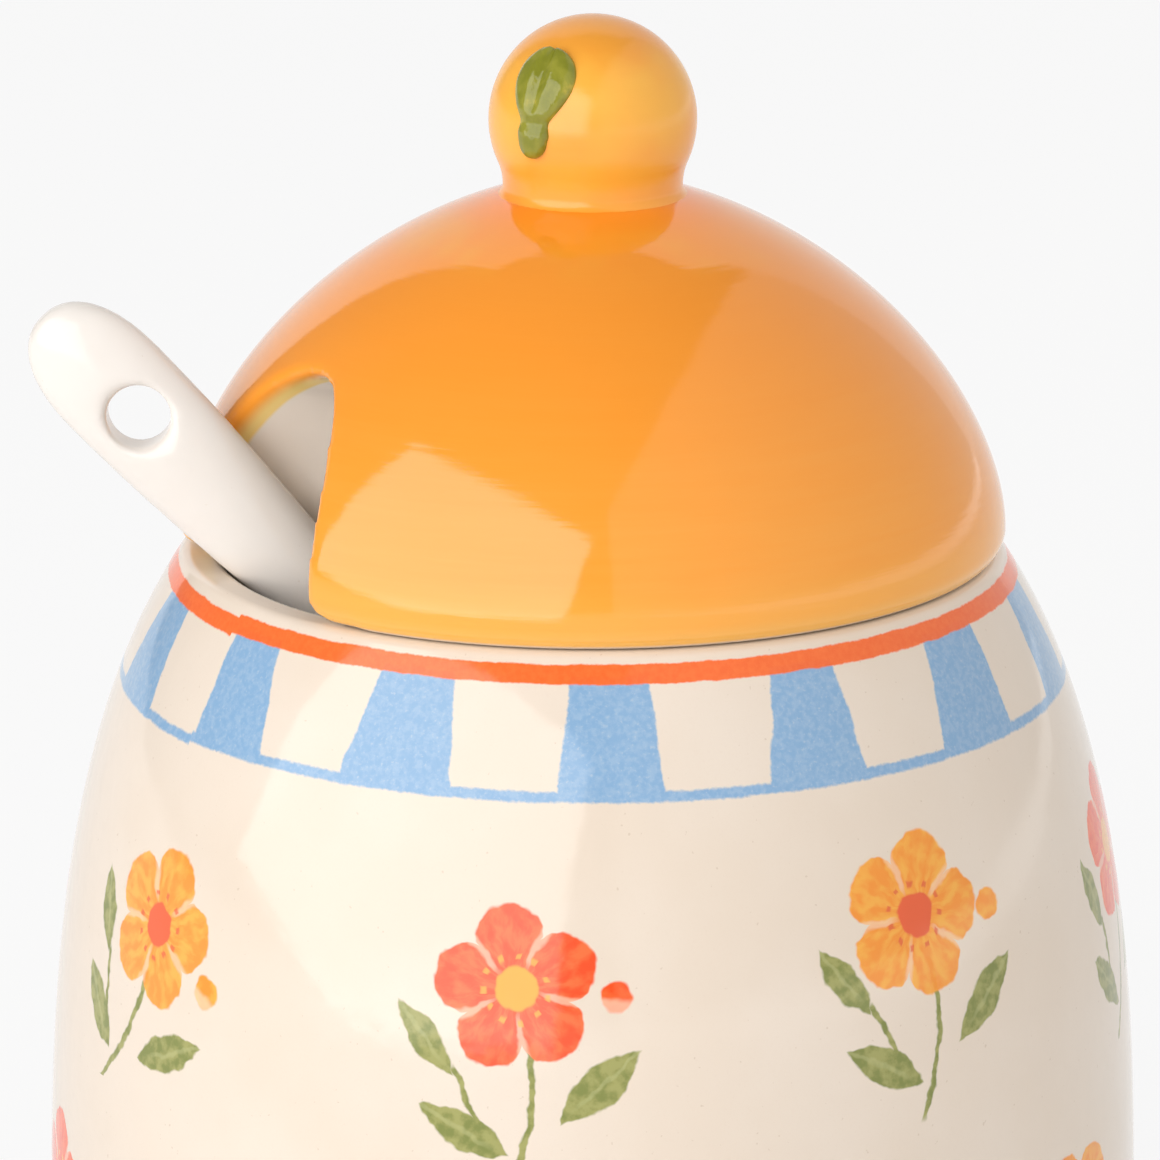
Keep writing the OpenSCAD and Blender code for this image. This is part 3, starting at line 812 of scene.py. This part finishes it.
def spoonGlaze():
    g = Glaze("spoonGlaze", IOR=1.52)
    cloud = g.grain(g.place, 0.09, 3)
    colour = g.blend(cloud.over(0.3, 0.7), (0.90, 0.855, 0.80), (0.875, 0.825, 0.765))
    colour = g.blend(g.grain(g.place, 2.4, 1).over(0.77, 0.82) * 0.25, colour, (0.62, 0.5, 0.38))
    g.give(Base_Color=colour, Roughness=g.grain(g.place, 0.5, 2) * 0.06 + 0.12)
    g.bump(cloud + g.grain(g.place, 0.4, 2) * 0.4, 0.15, 0.0005)
    return g.material


# pieces on their bodies

def finishPiece(piece, glaze, body, node):
    piece.data.materials.clear()
    piece.data.materials.append(glaze)
    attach(piece, body)
    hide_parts(node)
    print("piece", piece.name, "with", len(piece.data.polygons), "faces rides on", body)


potPiece = makePot()
lidPiece = makeLid()
knobPiece = makeKnob()
leafPiece = makeLeaf(knobPiece)
spoonPiece = makeSpoon()
finishPiece(potPiece, potGlaze(), "pot", "jar_body")
finishPiece(lidPiece, lidGlaze(), "lid", "lid_dome")
finishPiece(knobPiece, knobGlaze(), "lid", "lid_knob")
finishPiece(leafPiece, leafGlaze(), "lid", "leaf_sprig")
finishPiece(spoonPiece, spoonGlaze(), "spoon", "spoon")


# studio

studio = {
    "aim": Vector((0, 0, 0.0857)), "distance": 0.65, "above": 15.055, "lens": 223.21, "sensor": 36,
    "shift": (-0.01103, -0.04025), "floorWhite": 0.87, "floorSize": 40, "paper": 0.9,
    "backWhite": 1.0, "backSize": (3.3, 4.6), "backAt": 2.5, "worldLevel": 0.27, "lampTint": (1, 0.98, 0.97),
}


def makeCamera():
    data = bpy.data.cameras.new("camera")
    data.lens, data.sensor_width = studio["lens"], studio["sensor"]
    data.shift_x, data.shift_y = studio["shift"]
    data.clip_start, data.clip_end = 0.01, 50
    camera = bpy.data.objects.new("camera", data)
    bpy.context.scene.collection.objects.link(camera)
    up = math.radians(studio["above"])
    camera.location = studio["aim"] + Vector((0, -math.cos(up), math.sin(up))) * studio["distance"]
    camera.rotation_euler = (math.pi / 2 - up, 0, 0)
    bpy.context.scene.camera = camera


def makePanel(name, azimuth, distance, middleZ, width, tall, roll, radiance):  # a soft light facing the jar
    data = bpy.data.lights.new(name, "AREA")
    data.shape, data.size, data.size_y = "RECTANGLE", width, tall
    data.energy = radiance * math.pi * width * tall
    data.color = studio["lampTint"]
    panel = bpy.data.objects.new(name, data)
    bpy.context.scene.collection.objects.link(panel)
    a = math.radians(azimuth)
    panel.location = (math.sin(a) * distance, -math.cos(a) * distance, middleZ)
    panel.rotation_euler = (Matrix.Rotation(a, 3, "Z") @ Matrix.Rotation(math.pi / 2, 3, "X")
                            @ Matrix.Rotation(math.radians(roll), 3, "Z")).to_euler()
    panel.visible_camera = False


def paper(name, white):  # pale for what the camera and the glazes see, and plain paper for the light
    g = Glaze(name)
    rays = ("Is Camera Ray", "Is Glossy Ray", "Is Transmission Ray")
    seen = sum(g.node("ShaderNodeLightPath", {}, {}, ray) for ray in rays).math("MINIMUM", 1.0)
    level = (studio["paper"],) * 3
    sheet = g.node("ShaderNodeBsdfDiffuse", {}, {"Color": (*level, 1)})
    glow = g.node("ShaderNodeEmission", {}, {})
    mixed = g.node("ShaderNodeMixShader", {}, {0: seen * white, 1: sheet, 2: glow})
    g.tree.links.new(mixed.socket, g.tree.nodes["Material Output"].inputs["Surface"])
    return g.material


def makeStage():
    bpy.ops.object.select_all(action="DESELECT")
    bpy.ops.mesh.primitive_plane_add(size=studio["floorSize"])
    floor = bpy.context.object
    floor.name = "floor"
    bpy.ops.mesh.primitive_plane_add(size=1)
    backdrop = bpy.context.object
    backdrop.name = "backdrop"
    wide, tall = studio["backSize"]
    backdrop.scale = (wide, tall, 1)
    backdrop.rotation_euler = (math.pi / 2, 0, 0)
    backdrop.location = (0, studio["backAt"], tall / 2)
    for piece, white in ((floor, studio["floorWhite"]), (backdrop, studio["backWhite"])):
        piece.data.materials.append(paper(piece.name + "Paper", white))


def makeWorld():
    world = bpy.data.worlds.new("studio")
    bpy.context.scene.world = world
    world.use_nodes = True
    sky = world.node_tree.nodes["Background"]
    sky.inputs["Color"].default_value = (1, 1, 1, 1)
    sky.inputs["Strength"].default_value = studio["worldLevel"]


makeCamera()
makeStage()
makeWorld()
makePanel("softboxLeft", azimuth=-42, distance=1.0, middleZ=0.55,
          width=1.56, tall=1.15, roll=-14, radiance=2.5)
makePanel("sideWall", azimuth=76, distance=0.9, middleZ=1.25, width=5.1, tall=2.5, roll=0, radiance=0.54)
bpy.context.scene.view_settings.view_transform = "Standard"
print("studio ready")
